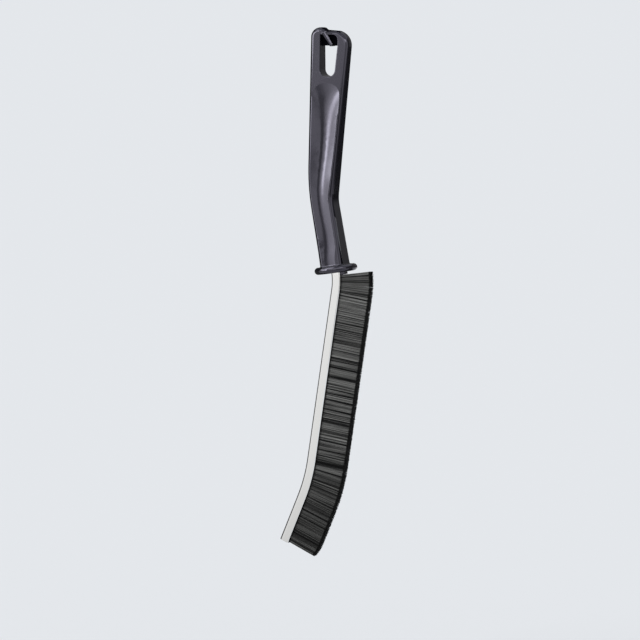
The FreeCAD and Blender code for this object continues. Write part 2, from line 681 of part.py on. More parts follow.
def bundle_section(distance, lean, reach):
    """A bundle's cut across the head: folded round the wire, straight in the mouth, spread at the tips."""
    x, z, turn = head_frame(distance)
    heading = turn + lean
    outward = Vector(math.cos(heading), 0, -math.sin(heading))
    across = Vector(0, 1, 0)
    middle = Vector(x, 0, z)
    half = size("channel_thick") / 2 - size("channel_wall") - size("fill_clearance")
    mouth = value(MOUTH)
    tip = mouth + reach
    spread = size("tip_spread") / 2
    rail = [(0, half), (mouth, half), (tip, spread), (tip, -spread), (mouth, -half), (0, -half)]
    spots = [middle + outward * out + across * side for out, side in rail]
    edges = [Part.LineSegment(start, end).toShape() for start, end in zip(spots, spots[1:])]
    edges.append(Part.Arc(spots[5], middle - outward * half, spots[0]).toShape())
    return Part.Wire(edges)


def make_bundles():
    """The row of bristle bundles, uneven in width and reach, each holed for the core wire."""
    start = size("first_bundle_drop")
    end = head_stations(size("end_run"))[-1] - size("last_bundle_margin")
    count = int(size("bundle_count"))
    widths = [BUNDLE_WIDTH_SHARES[index % len(BUNDLE_WIDTH_SHARES)] for index in range(count)]
    unit = (end - start) / sum(widths)
    bore = size("wire_diameter") / 2 + size("fill_clearance")
    parting = size("bundle_gap") / 2
    bundles = []
    edge = start
    for index, width in enumerate(widths):
        reach = size("bristle_reach") * BUNDLE_REACH_SHARES[index % len(BUNDLE_REACH_SHARES)]
        top, foot = edge + parting, edge + unit * width - parting
        edge += unit * width
        sections = []
        for spot in (top, foot):
            short = reach - trim_at(spot, start, end)
            sections.append(bundle_section(spot, splay_at(spot, start, end), short))
        solid = Part.makeLoft(sections, True, True)
        low, high = (Vector(x, 0, z) for x, z, turn in (head_frame(top), head_frame(foot)))
        along = (high - low).normalize() * size("overrun")
        length = (high - low).Length + 2 * along.Length
        solid = solid.cut(Part.makeCylinder(bore, length, low - along, along))
        bundle = doc.addObject("Part::Feature", f"bristle_bundle_{index + 1:02d}")
        bundle.Label = bundle.Name
        bundle.Shape = solid
        set_strip_placement(bundle)
        bundles.append(bundle)
    return bundles


pieces = [make_handle(), make_channel(), make_core_wire()] + make_bundles()
doc.recompute()

for item in doc.Objects:
    if "Invalid" in item.State or "Error" in item.State:
        raise RuntimeError(f"{item.Label} did not build: {item.State}")
for piece in pieces:
    shape = piece.Shape
    if shape.isNull() or not shape.isValid() or len(shape.Solids) != 1:
        raise RuntimeError(f"{piece.Label} is not one valid solid")

os.makedirs("parts", exist_ok=True)
for piece in pieces:
    piece.Shape.exportStep(f"parts/{piece.Label}.step")
    print(f"{piece.Label}: {piece.Shape.Volume:.1f} mm3")
box = Part.makeCompound([piece.Shape for piece in pieces]).BoundBox
print(f"overall {box.XLength:.1f} x {box.YLength:.1f} x {box.ZLength:.1f} mm, {len(pieces)} pieces")
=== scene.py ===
import bpy
import bmesh
import math
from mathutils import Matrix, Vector
from mathutils.bvhtree import BVHTree
from mathutils.interpolate import poly_3d_calc


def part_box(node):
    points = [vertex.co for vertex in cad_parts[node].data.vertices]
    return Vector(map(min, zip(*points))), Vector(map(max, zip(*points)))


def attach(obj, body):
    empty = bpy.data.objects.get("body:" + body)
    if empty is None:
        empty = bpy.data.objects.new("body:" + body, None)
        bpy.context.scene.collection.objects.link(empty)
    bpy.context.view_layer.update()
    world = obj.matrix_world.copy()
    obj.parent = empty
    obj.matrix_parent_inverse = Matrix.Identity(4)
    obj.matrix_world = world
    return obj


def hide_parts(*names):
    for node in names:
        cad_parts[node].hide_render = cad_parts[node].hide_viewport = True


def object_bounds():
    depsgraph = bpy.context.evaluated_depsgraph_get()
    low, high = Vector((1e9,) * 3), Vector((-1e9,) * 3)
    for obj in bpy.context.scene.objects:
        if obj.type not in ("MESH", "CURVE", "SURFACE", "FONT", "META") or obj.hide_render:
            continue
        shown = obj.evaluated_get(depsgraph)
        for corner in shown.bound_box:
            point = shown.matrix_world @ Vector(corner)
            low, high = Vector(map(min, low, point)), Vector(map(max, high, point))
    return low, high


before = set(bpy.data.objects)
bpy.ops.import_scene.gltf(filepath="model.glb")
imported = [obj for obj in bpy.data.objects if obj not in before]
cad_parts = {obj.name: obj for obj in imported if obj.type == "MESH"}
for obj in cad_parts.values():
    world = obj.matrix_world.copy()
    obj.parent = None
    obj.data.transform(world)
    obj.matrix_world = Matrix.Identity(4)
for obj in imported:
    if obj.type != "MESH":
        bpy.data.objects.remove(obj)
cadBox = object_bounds()
scene = bpy.context.scene
scene.view_settings.view_transform = "Standard"
print("frame loaded:", len(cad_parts), "nodes")


def addObject(name, data):
    thing = bpy.data.objects.new(name, data)
    scene.collection.objects.link(thing)
    return thing


def addPiece(name, mesh, material, slot, *nodes):  # stands in for the frame's nodes that it names
    piece = addObject(name, mesh)
    mesh.materials.clear()
    mesh.materials.append(material)
    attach(piece, "root")
    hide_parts(*nodes)


def newMaterial(name):
    material = bpy.data.materials.new(name)
    material.use_nodes = True
    material.node_tree.nodes.clear()
    return material, material.node_tree


def feed(tree, socket, value):  # links another node's output, or sets a plain value
    if isinstance(value, bpy.types.NodeSocket):
        tree.links.new(value, socket)
    else:
        socket.default_value = value


def addNode(tree, kind, place=(0, 0), settings=None, **values):
    node = tree.nodes.new(kind)
    node.location = place
    for key, value in (settings or {}).items():
        setattr(node, key, value)
    for key, value in values.items():
        feed(tree, node.inputs[key.replace("_", " ")], value)
    return node


def maths(tree, operation, place, *values):
    node = addNode(tree, "ShaderNodeMath", place, {"operation": operation})
    for socket, value in zip(node.inputs, values):
        feed(tree, socket, value)
    return node.outputs[0]


def vectors(tree, operation, place, *values):
    node = addNode(tree, "ShaderNodeVectorMath", place, {"operation": operation})
    for socket, value in zip(node.inputs, values):
        feed(tree, socket, value)
    return node.outputs[0]


def scaled(tree, place, vector, factor):
    node = addNode(tree, "ShaderNodeVectorMath", place, {"operation": "SCALE"}, Vector=vector, Scale=factor)
    return node.outputs[0]


def combined(tree, place, **values):
    return addNode(tree, "ShaderNodeCombineXYZ", place, **values).outputs[0]


def remap(tree, place, value, before, after):  # from one range to another
    node = addNode(tree, "ShaderNodeMapRange", place, Value=value, From_Min=before[0], From_Max=before[1],
                   To_Min=after[0], To_Max=after[1])
    return node.outputs["Result"]


def noise(tree, place, spot, **values):
    return addNode(tree, "ShaderNodeTexNoise", place, Vector=spot, **values).outputs["Fac"]


def mixTone(tree, place, factor, low, high):
    node = addNode(tree, "ShaderNodeMix", place, {"data_type": "RGBA"}, Factor=factor)
    feed(tree, node.inputs[6], low)  # 6, 7 and 2 are its colour sockets
    feed(tree, node.inputs[7], high)
    return node.outputs[2]


def showSurface(tree, shader):
    addNode(tree, "ShaderNodeOutputMaterial", (300, 0), Surface=shader.outputs[0])


# the line of the core wire, from the middle of the finger guard down to the channel's end
headLine = {
    "lean": 10.5,  # degrees, how the neck leans
    "tang": 0.0220,  # up into the handle
    "exitRun": 0.0005,
    "firstRadius": 0.0249,
    "firstTurn": 19.3,  # degrees
    "mainRun": 0.0754,
    "secondRadius": 0.0705,
    "secondTurn": 14.3,  # degrees
    "endRun": 0.0212,
    "wireSetback": 0.0005,  # the wire stops this short of the channel's end
    "rimDepth": 0.00001,  # the points this near the wire's foot are its end
}


def headRuns():
    first, second = headLine["firstRadius"], headLine["secondRadius"]
    return (
        (headLine["exitRun"], 0),
        (first * math.radians(headLine["firstTurn"]), first),
        (headLine["mainRun"], 0),
        (second * math.radians(headLine["secondTurn"]), second),
        (headLine["endRun"], 0),
    )


def walkHead(distance):  # place and heading on the line, as if it began at the origin; the tang is below zero
    x = z = 0.0
    heading = -math.radians(headLine["lean"])
    left = distance
    for length, radius in headRuns():
        step = min(left, length)
        if radius:
            turned = heading + step / radius
            x += radius * (math.cos(turned) - math.cos(heading))
            z -= radius * (math.sin(turned) - math.sin(heading))
            heading = turned
        else:
            x -= step * math.sin(heading)
            z -= step * math.cos(heading)
        left -= step
        if left <= 0:
            break
    return Vector((x, 0, z)), heading


def outward(heading):  # the way the bristles point
    return Vector((math.cos(heading), 0, -math.sin(heading)))


def downward(heading):  # along the line
    return Vector((-math.sin(heading), 0, -math.cos(heading)))


def wireFoot(way):  # middle of the wire's lower end, read from the frame
    points = [vertex.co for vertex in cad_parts["core_wire"].data.vertices]
    reach = max(point.dot(way) for point in points)
    rim = [point for point in points if reach - point.dot(way) < headLine["rimDepth"]]
    low = Vector(min(point[axis] for point in rim) for axis in range(3))
    high = Vector(max(point[axis] for point in rim) for axis in range(3))
    return (low + high) / 2


headLength = sum(length for length, radius in headRuns())
footPlace, footHeading = walkHead(headLength - headLine["wireSetback"])
headStart = wireFoot(downward(footHeading)) - footPlace


def headPlace(distance):
    place, heading = walkHead(distance)
    return headStart + place, heading


# the handle's plastic, glossy but for the web's pocket, where taking away its reflections paints shade into
# the recess
plastic = {
    "dark": (0.0036, 0.0034, 0.0056, 1),
    "pale": (0.0062, 0.0058, 0.0088, 1),
    "tint": (0.85, 0.82, 1.0, 1),  # of what it mirrors
    "ior": 1.66,
    "cloudScale": 55.0,  # marks of handling, in tone and roughness
    "cloudRange": (0.35, 0.75),
    "peelScale": 1400.0,  # the skin's fine waviness
    "peelDepth": 0.00001,
    "peelStrength": 0.35,
    "moulded": {"rough": (0.07, 0.13), "gloss": 0.5},  # roughness where clean and where handled
    # painted shade: no reflections and a rough skin, so the web's pocket renders dark
    "pocketShade": {"rough": (0.47, 0.53), "gloss": 0.0},
}


def plasticMaterial(finish):
    material, tree = newMaterial(finish + "Plastic")
    spot = addNode(tree, "ShaderNodeTexCoord", (-1200, 0)).outputs["Object"]
    cloud = noise(tree, (-950, 200), spot, Scale=plastic["cloudScale"], Detail=4.0)
    peel = noise(tree, (-950, -250), spot, Scale=plastic["peelScale"], Detail=2.0)
    tone = mixTone(tree, (-500, 250), cloud, plastic["dark"], plastic["pale"])
    rough = remap(tree, (-500, 0), cloud, plastic["cloudRange"], plastic[finish]["rough"])
    bump = addNode(tree, "ShaderNodeBump", (-500, -250), Height=peel, Strength=plastic["peelStrength"],
                   Distance=plastic["peelDepth"])
    shader = addNode(tree, "ShaderNodeBsdfPrincipled", Base_Color=tone, Roughness=rough, IOR=plastic["ior"],
                     Normal=bump.outputs["Normal"], Specular_IOR_Level=plastic[finish]["gloss"],
                     Specular_Tint=plastic["tint"])
    showSurface(tree, shader)
    return material


# the moulded handle: the frame's own mesh with its edges eased, as moulded plastic has them
shell = {
    "ease": 0.00066,  # along the outline
    "rimEase": 0.00040,  # round the slot's open part
    "fineEase": 0.00018,  # on the finger and under the guard
    "easeSteps": 4,
    "easeFrom": 28.0,  # degrees, the turn at which an edge is sharp
    "weld": 0.000002,
    "near": 0.00003,  # how far the frame's own surface is looked for
    "alike": 0.94,  # cosine of the furthest turn from it
    "rimTurns": (0.30, 0.85),  # most of Y in a slot wall's normal, and least in a broad face's
    "slotZone": ((-0.0052, -0.0145), (0.0052, 0.0090)),  # x and z
    "guardLevel": -0.0955,
    "rimLevel": 0.0015,  # the finger fills the slot above this
    "pocket": (0.0020, -0.0008),  # the web's pocket, darkened as painted shade: half its depth and its foot
}


def frameNormals(name):  # the way the frame's own surface faces at a point, near a given way
    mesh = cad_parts[name].data
    mesh.calc_loop_triangles()
    spots = [vertex.co.copy() for vertex in mesh.vertices]
    normals = [Vector(corner.vector) for corner in mesh.corner_normals]
    triangles = [(tuple(tri.vertices), tuple(tri.loops), Vector(tri.normal)) for tri in mesh.loop_triangles]
    tree = BVHTree.FromPolygons(spots, [vertices for vertices, loops, way in triangles])

    def lookUp(point, way):
        found = [triangles[hit[2]] for hit in tree.find_nearest_range(point, shell["near"])]
        if not found:
            return way
        vertices, loops, flat = max(found, key=lambda triangle: triangle[2].dot(way))
        if flat.dot(way) < shell["alike"]:
            return way
        weights = poly_3d_calc([spots[index] for index in vertices], point)
        return sum((normals[loop] * weight for loop, weight in zip(loops, weights)), Vector()).normalized()

    return lookUp


def inSlot(spot):
    (left, low), (right, high) = shell["slotZone"]
    return left < spot.x < right and low < spot.z < high


def inPocket(spot):
    depth, foot = shell["pocket"]
    return inSlot(spot) and abs(spot.y) < depth and spot.z > foot


def easeOf(edge):  # none for an edge that is eased already or isn't sharp
    eased = any(face.material_index for face in edge.link_faces)
    if eased or math.degrees(edge.calc_face_angle(0)) < shell["easeFrom"]:
        return None
    spot = (edge.verts[0].co + edge.verts[1].co) / 2
    if not inSlot(spot):
        return "fineEase" if spot.z < shell["guardLevel"] else "ease"
    wall, broad = shell["rimTurns"]
    turns = sorted(abs(face.normal.y) for face in edge.link_faces)
    rim = turns[0] < wall and turns[1] > broad and spot.z < shell["rimLevel"]
    return "rimEase" if rim else "fineEase"


def easeEdges(work):  # the new rounds are marked by material 1
    for zone in ("ease", "rimEase", "fineEase"):
        sharp = [edge for edge in work.edges if easeOf(edge) == zone]
        made = bmesh.ops.bevel(work, geom=sharp, offset=shell[zone], offset_type="OFFSET", affect="EDGES",
                               segments=shell["easeSteps"], profile=0.5, clamp_overlap=False)
        for face in made["faces"]:
            face.smooth = True
            face.material_index = 1


def shellNormals(work, lookUp):  # faces keep the frame's own normals, and the rounds run into them
    rims = {}
    for face in work.faces:
        if face.material_index == 0:
            for corner in face.loops:
                rims.setdefault(corner.vert.index, []).append(lookUp(corner.vert.co, face.normal))
    normals = []
    for face in work.faces:
        for corner in face.loops:
            near = rims.get(corner.vert.index)
            if face.material_index == 0:
                normals.append(lookUp(corner.vert.co, face.normal))
            elif near:
                normals.append(max(near, key=lambda way: way.dot(face.normal)))
            else:
                normals.append(corner.vert.normal.copy())
    return normals


def makeHandle(gloss, pocketShade):
    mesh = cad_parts["handle"].data.copy()
    mesh.name = "handleShell"
    work = bmesh.new()
    work.from_mesh(mesh)
    bmesh.ops.remove_doubles(work, verts=work.verts, dist=shell["weld"])
    for face in work.faces:
        face.smooth = True
        face.material_index = 0
    easeEdges(work)
    bmesh.ops.triangulate(work, faces=[face for face in work.faces if len(face.verts) > 3])
    work.normal_update()
    work.verts.index_update()
    normals = shellNormals(work, frameNormals("handle"))
    work.to_mesh(mesh)
    work.free()
    mesh.normals_split_custom_set(normals)
    addPiece("handleShell", mesh, gloss, "handle_plastic", "handle")
    # faces in the web's pocket take the reflection-free plastic, painted shade in the recess
    mesh.materials.append(pocketShade)
    for face in mesh.polygons:
        face.material_index = int(inPocket(face.center))


# bright drawn steel, for the strip and the wire
steel = {
    "colour": (0.90, 0.90, 0.89, 1),
    "rough": (0.04, 0.09),
    "grainDepth": 0.00001,
    "grainStrength": 0.2,
    "drawnWire": ("Object", (4000, 4000, 120)),  # what the grain follows, and its fineness
    "foldedSteel": ("UV", (60, 9000, 1)),
}


def steelMaterial(name):
    follows, fineness = steel[name]
    material, tree = newMaterial(name)
    spot = addNode(tree, "ShaderNodeTexCoord", (-1200, 0)).outputs[follows]
    drawn = addNode(tree, "ShaderNodeMapping", (-1000, 0), Vector=spot, Scale=fineness)
    grain = noise(tree, (-800, 0), drawn.outputs["Vector"], Scale=1.0, Detail=3.0)
    rough = remap(tree, (-500, 0), grain, (0, 1), steel["rough"])
    bump = addNode(tree, "ShaderNodeBump", (-500, -250), Height=grain, Strength=steel["grainStrength"],
                   Distance=steel["grainDepth"])
    shader = addNode(tree, "ShaderNodeBsdfPrincipled", Base_Color=steel["colour"], Metallic=1.0,
                     Roughness=rough, Normal=bump.outputs["Normal"])
    showSurface(tree, shader)
    return material


def dressNode(name, material):
    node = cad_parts[name]
    node.data.materials.clear()
    node.data.materials.append(material)


# the steel strip, folded to a U round the bristles
channel = {
    "thick": 0.0034,
    "depth": 0.0045,
    "wall": 0.0005,
    "step": 0.0010,  # spacing of its sections along the line
    "arcSteps": 14,
    "lipSteps": 4,
    "wallSteps": 6,
}


def channelProfile():  # closed loop of (out, side), outer skin first
    outer = channel["thick"] / 2
    inner = outer - channel["wall"]
    lip = channel["wall"] / 2
    edge = channel["depth"] - outer - lip  # where the lips' rounds begin

    def backRound(radius, sense):  # round the wire, from one wall to the other
        steps = channel["arcSteps"]
        angles = [sense * (math.pi / 2 + math.pi * step / steps) for step in range(steps + 1)]
        return [(radius * math.cos(angle), radius * math.sin(angle)) for angle in angles]

    def lipRound(middle):
        steps = channel["lipSteps"]
        angles = [math.pi / 2 - math.pi * step / steps for step in range(1, steps)]
        return [(edge + lip * math.cos(angle), middle + lip * math.sin(angle)) for angle in angles]

    rail = [edge - edge * step / channel["wallSteps"] for step in range(channel["wallSteps"])]
    loop = [(out, -outer) for out in rail]
    loop += backRound(outer, -1)
    loop += [(out, outer) for out in reversed(rail)]
    loop += lipRound(outer - lip)
    loop += [(out, inner) for out in rail]
    loop += backRound(inner, 1)
    loop += [(out, -inner) for out in reversed(rail)]
    loop += lipRound(lip - outer)
    return loop


def makeChannel(material):
    loop = channelProfile()
    size = len(loop)
    around = [0.0]
    for (out, side), (nextOut, nextSide) in zip(loop, loop[1:] + loop[:1]):
        around.append(around[-1] + math.hypot(nextOut - out, nextSide - side))
    mesh = bpy.data.meshes.new("steelChannel")
    work = bmesh.new()
    uvLayer = work.loops.layers.uv.new("strip")
    length = headLength + headLine["tang"]
    count = round(length / channel["step"])
    distances = [-headLine["tang"] + length * index / count for index in range(count + 1)]
    rows = []
    for distance in distances:
        place, heading = headPlace(distance)
        way = outward(heading)
        rows.append([work.verts.new(place + way * out + Vector((0, side, 0))) for out, side in loop])
    for index in range(count):
        for turn in range(size):
            after = (turn + 1) % size
            corners = ((index, turn), (index, after), (index + 1, after), (index + 1, turn))
            face = work.faces.new([rows[row][spot] for row, spot in corners])
            face.smooth = True
            for corner, (row, spot), across in zip(face.loops, corners, (turn, turn + 1, turn + 1, turn)):
                corner[uvLayer].uv = (distances[row], around[across])
    for row in (rows[0], rows[-1]):
        bmesh.ops.contextual_create(work, geom=row)
    bmesh.ops.triangulate(work, faces=[face for face in work.faces if len(face.verts) > 4])
    bmesh.ops.recalc_face_normals(work, faces=work.faces)
    work.to_mesh(mesh)
    work.free()
    addPiece("steelChannel", mesh, material, "channel_steel", "steel_channel")


# the bristles: thousands of filaments folded over the wire, made from just below the mouth outwards
bristles = {
    "rowStart": 0.0028,  # guard's middle to the first filament
    "rowMargin": 0.0006,  # last filament short of the channel's end
    "rowStep": 0.0005,  # spacing of the points of the row's line
    "fold": 0.0012,  # how far below the mouth the filaments start
    "reach": 0.0147,
    "radius": 0.000105,
    "rootThick": 0.0021,
    "tipThick": 0.0029,
    "perMetre": 47000,
    "wander": 0.00025,  # either way along the row, by chance
    "drift": 0.0004,  # range in which neighbours lean together at the tips
    "driftScale": 600.0,
    "shortest": 0.984,  # share of the reach
    "sides": 5,
    "segments": 4,
    "stretches": 4,  # pieces that the row is made in
    "seed": 7,
    "topSplay": 3.0,  # degrees, the first filaments lean up
    "endSplay": 2.0,  # degrees, the last lean down
    "splayLength": 0.0090,
    "endTrim": 0.0012,  # the last corner is cut back
    "trimLength": 0.0060,
    "searchSteps": 400,  # for a bundle's place on the line
}

nylon = {
    "dark": (0.0022, 0.0022, 0.0024, 1),
    # the pale tone is painted sheen on the black nylon, laid on in lit strands by the noise below
    "pale": (0.410, 0.410, 0.395, 1),
    "cut": (0.0015, 0.0015, 0.0015, 1),  # painted shade at the roots, where the channel's mouth shadows them, and near the cut tips
    "rough": 0.42,
    "gloss": 0.12,
    "paleFrom": (0.07, 0.14),  # shares of a filament's height, where the painted shade at the root gives way and where it begins again near the tip
    "paleTo": (0.925, 0.945),
    # noise that paints lit strands and shaded partings: fineness along the row, up a filament and through the
    # row, then the bend and the range
    "sheenStrands": ((2400.0, 16.0, 420.0), 0.1, (0.43, 0.58)),
    "sheenLocks": ((430.0, 45.0, 150.0), 0.25, (-0.10, 0.60)),
    "dimFrom": 0.076,  # down the row, where the light falls off
    "dimTo": 0.102,
    "dim": 0.42,
    "darkest": 0.55,  # of the single filaments' tones
    # broad bands of painted light and shade along the row
    "bandScale": 190.0,
    "bandStretch": (1, 0.25, 1),
    "bandRange": (0.30, 0.70),
    "bandLow": 0.60,
}


def nylonMaterial():
    material, tree = newMaterial("blackNylon")
    shade = addNode(tree, "ShaderNodeAttribute", (-1700, 500), {"attribute_name": "shade"})
    height = addNode(tree, "ShaderNodeAttribute", (-1700, -100), {"attribute_name": "height"}).outputs["Fac"]
    stand = addNode(tree, "ShaderNodeAttribute", (-1700, 200), {"attribute_name": "stand"})
    stood = addNode(tree, "ShaderNodeSeparateXYZ", (-1500, 200), Vector=stand.outputs["Vector"]).outputs
    up = maths(tree, "MULTIPLY", (-1500, 0), height, bristles["reach"])
    spot = combined(tree, (-1300, 200), X=stood["X"], Y=up, Z=stood["Y"])
    lit = shade.outputs["Fac"]
    # painted highlight and shade: the noise lights strands of filaments and darkens the partings
    for level, name in ((400, "sheenStrands"), (100, "sheenLocks")):
        fineness, bend, clearRange = nylon[name]
        fine = vectors(tree, "MULTIPLY", (-1100, level), spot, fineness)
        grain = noise(tree, (-900, level), fine, Scale=1.0, Detail=2.0, Distortion=bend)
        clear = remap(tree, (-700, level), grain, clearRange, (0, 1))
        lit = maths(tree, "MULTIPLY", (-500, level), lit, clear)
    fall = remap(tree, (-700, 700), stood["X"], (nylon["dimFrom"], nylon["dimTo"]), (1, nylon["dim"]))
    lit = maths(tree, "MULTIPLY", (-400, 500), lit, fall)
    tone = mixTone(tree, (-300, 200), lit, nylon["dark"], nylon["pale"])
    # painted shade by height: near-black at the roots and near the tips
    ramp = addNode(tree, "ShaderNodeValToRGB", (-650, -100), Fac=height)
    stops = ramp.color_ramp.elements
    stops[0].position, stops[1].position = nylon["paleFrom"]
    for position, level in zip(nylon["paleTo"], (1, 0)):
        stops.new(position).color = (level, level, level, 1)
    shadedEnds = mixTone(tree, (-150, 100), ramp.outputs["Color"], nylon["cut"], tone)
    shader = addNode(tree, "ShaderNodeBsdfPrincipled", Base_Color=shadedEnds, Roughness=nylon["rough"],
                     Specular_IOR_Level=nylon["gloss"])
    showSurface(tree, shader)
    return material


def named(tree, place, name, kind="FLOAT"):
    node = addNode(tree, "GeometryNodeInputNamedAttribute", place, {"data_type": kind}, Name=name)
    return node.outputs["Attribute"]


def store(tree, place, geometry, name, value, domain, kind="FLOAT"):
    node = addNode(tree, "GeometryNodeStoreNamedAttribute", place, {"data_type": kind, "domain": domain},
                   Geometry=geometry, Name=name, Value=value)
    return node.outputs["Geometry"]


def oneFilament(tree):  # a unit long and a unit in radius, with its height kept on it
    shaft = addNode(tree, "GeometryNodeCurvePrimitiveLine", (-1400, -700), End=(0, 0, 1))
    fine = addNode(tree, "GeometryNodeResampleCurve", (-1200, -700), Curve=shaft.outputs["Curve"],
                   Count=bristles["segments"] + 1)
    along = addNode(tree, "GeometryNodeSplineParameter", (-1200, -900)).outputs["Factor"]
    marked = store(tree, (-1000, -700), fine.outputs["Curve"], "height", along, "POINT")
    ring = addNode(tree, "GeometryNodeCurvePrimitiveCircle", (-1000, -950), Radius=1.0,
                   Resolution=bristles["sides"])
    tube = addNode(tree, "GeometryNodeCurveToMesh", (-750, -700), Curve=marked,
                   Profile_Curve=ring.outputs["Curve"], Fill_Caps=True)
    return tube.outputs["Mesh"]


def spreadSides(tree):  # even over the row's thickness, from -0.5 to 0.5
    goldenShare = (math.sqrt(5) - 1) / 2
    index = addNode(tree, "GeometryNodeInputIndex", (-1450, -100)).outputs[0]
    turns = maths(tree, "MULTIPLY", (-1250, -100), index, goldenShare)
    return maths(tree, "SUBTRACT", (-950, -100), maths(tree, "FRACT", (-1100, -100), turns), 0.5)


def standFilaments(tree, given, points, tangent):  # square to the row, fanned a little over the thickness
    # their places
    side = spreadSides(tree)
    loose = addNode(tree, "FunctionNodeRandomValue", (-1250, -300), {"data_type": "FLOAT_VECTOR"},
                    Min=(-1, -1, -1), Max=(1, 1, 1), Seed=given["Seed"])
    jitter = addNode(tree, "ShaderNodeSeparateXYZ", (-1050, -300), Vector=loose.outputs[0]).outputs
    across = maths(tree, "MULTIPLY", (-800, -100), side, given["Root Thickness"])
    wander = maths(tree, "MULTIPLY", (-800, -250), jitter["X"], given["Spacing"])
    shift = vectors(tree, "ADD", (-400, -100), combined(tree, (-600, -100), Y=across),
                    scaled(tree, (-600, -250), tangent, wander))
    placed = addNode(tree, "GeometryNodeSetPosition", (-200, 200), Geometry=points, Offset=shift)

    # the way they stand
    square = vectors(tree, "CROSS_PRODUCT", (-600, 450), tangent, (0, 1, 0))
    flare = maths(tree, "SUBTRACT", (-800, 500), given["Tip Thickness"], given["Root Thickness"])
    spread = maths(tree, "MULTIPLY", (-600, 600), side, flare)
    fan = maths(tree, "DIVIDE", (-400, 600), spread, given["Reach"])
    splay = scaled(tree, (-200, 800), tangent, named(tree, (-400, 800), "splay"))
    aside = vectors(tree, "ADD", (0, 700), combined(tree, (-200, 600), Y=fan), splay)
    turned = addNode(tree, "FunctionNodeAlignRotationToVector", (200, 500), {"axis": "Z"},
                     Vector=vectors(tree, "ADD", (0, 500), square, aside))

    # how tall they are
    uneven = remap(tree, (0, -250), jitter["Y"], (-1, 1), (bristles["shortest"], 1))
    full = maths(tree, "SUBTRACT", (100, -450), given["Reach"], named(tree, (0, -450), "trim"))
    tall = maths(tree, "MULTIPLY", (200, -250), full, uneven)
    size = combined(tree, (400, -250), X=given["Radius"], Y=given["Radius"], Z=tall)
    many = addNode(tree, "GeometryNodeInstanceOnPoints", (500, 200), Points=placed.outputs["Geometry"],
                   Instance=oneFilament(tree), Rotation=turned.outputs["Rotation"], Scale=size)
    return many.outputs["Instances"], across


def markFilaments(tree, given, filaments, across):  # what the nylon and the drift read
    spot = addNode(tree, "GeometryNodeInputPosition", (300, -500)).outputs[0]
    stretched = vectors(tree, "MULTIPLY", (500, -500), spot, nylon["bandStretch"])
    # each filament's tone: a random share, times broad bands of painted light and shade
    broad = noise(tree, (700, -750), stretched, Scale=nylon["bandScale"], Detail=1.0)
    chance = addNode(tree, "FunctionNodeRandomValue", (700, -1000), {"data_type": "FLOAT"},
                     Seed=given["Seed"])
    chance.inputs[2].default_value = nylon["darkest"]  # 2 and 1 are its sockets for single numbers
    bands = remap(tree, (900, -750), broad, nylon["bandRange"], (nylon["bandLow"], 1))
    shade = maths(tree, "MULTIPLY", (1050, -700), chance.outputs[1], bands)
    stand = combined(tree, (1100, -200), X=named(tree, (900, -200), "distance"), Y=across)
    toned = store(tree, (1100, 200), filaments, "shade", shade, "INSTANCE")
    rooted = store(tree, (1300, 200), toned, "root", spot, "INSTANCE", "FLOAT_VECTOR")
    return store(tree, (1400, 200), rooted, "stand", stand, "INSTANCE", "FLOAT_VECTOR")


def leanTips(tree, given, filaments, tangent):  # neighbours lean together, so that thin partings open
    root = named(tree, (1300, -300), "root", "FLOAT_VECTOR")
    rise = named(tree, (1300, -500), "height")
    clump = noise(tree, (1500, -300), root, Scale=bristles["driftScale"], Detail=2.0)
    drift = maths(tree, "SUBTRACT", (1700, -300), clump, 0.5)
    curl = maths(tree, "MULTIPLY", (1500, -550), rise, rise)
    grow = maths(tree, "MULTIPLY", (1600, -550), curl, given["Drift"])
    push = scaled(tree, (1900, -300), tangent, maths(tree, "MULTIPLY", (1750, -550), drift, grow))
    bent = addNode(tree, "GeometryNodeSetPosition", (2000, 200), Geometry=filaments, Offset=push)
    return bent.outputs["Geometry"]


def bristleTree(material):
    tree = bpy.data.node_groups.new("bristleRow", "GeometryNodeTree")
    sockets = tree.interface
    sockets.new_socket("Row", in_out="INPUT", socket_type="NodeSocketGeometry")
    for name in ("Count", "Seed"):
        sockets.new_socket(name, in_out="INPUT", socket_type="NodeSocketInt")
    for name in ("Radius", "Reach", "Root Thickness", "Tip Thickness", "Spacing", "Drift"):
        sockets.new_socket(name, in_out="INPUT", socket_type="NodeSocketFloat")
    sockets.new_socket("Bristles", in_out="OUTPUT", socket_type="NodeSocketGeometry")
    given = addNode(tree, "NodeGroupInput", (-2000, 0)).outputs
    line = addNode(tree, "GeometryNodeMeshToCurve", (-1700, 200), Mesh=given["Row"])
    spots = addNode(tree, "GeometryNodeCurveToPoints", (-1450, 200), {"mode": "COUNT"},
                    Curve=line.outputs["Curve"], Count=given["Count"])
    tangent = spots.outputs["Tangent"]
    filaments, across = standFilaments(tree, given, spots.outputs["Points"], tangent)
    marked = markFilaments(tree, given, filaments, across)
    real = addNode(tree, "GeometryNodeRealizeInstances", (1500, 200), Geometry=marked)
    bent = leanTips(tree, given, real.outputs["Geometry"], tangent)
    smooth = addNode(tree, "GeometryNodeSetShadeSmooth", (2200, 200), Geometry=bent)
    painted = addNode(tree, "GeometryNodeSetMaterial", (2400, 200), Geometry=smooth.outputs[0],
                      Material=material)
    addNode(tree, "NodeGroupOutput", (2600, 0), Bristles=painted.outputs["Geometry"])
    return tree


def socketOf(tree, name):
    inputs = [item for item in tree.interface.items_tree if item.in_out == "INPUT"]
    return next(item.identifier for item in inputs if item.name == name)


def bundleDistance(name):  # how far down the line a bundle's middle lies
    low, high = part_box(name)
    middle = (low + high) / 2
    steps = bristles["searchSteps"]

    def miss(distance):
        place, heading = headPlace(distance)
        return abs((middle - place).dot(downward(heading)))

    return min((headLength * step / steps for step in range(steps + 1)), key=miss)


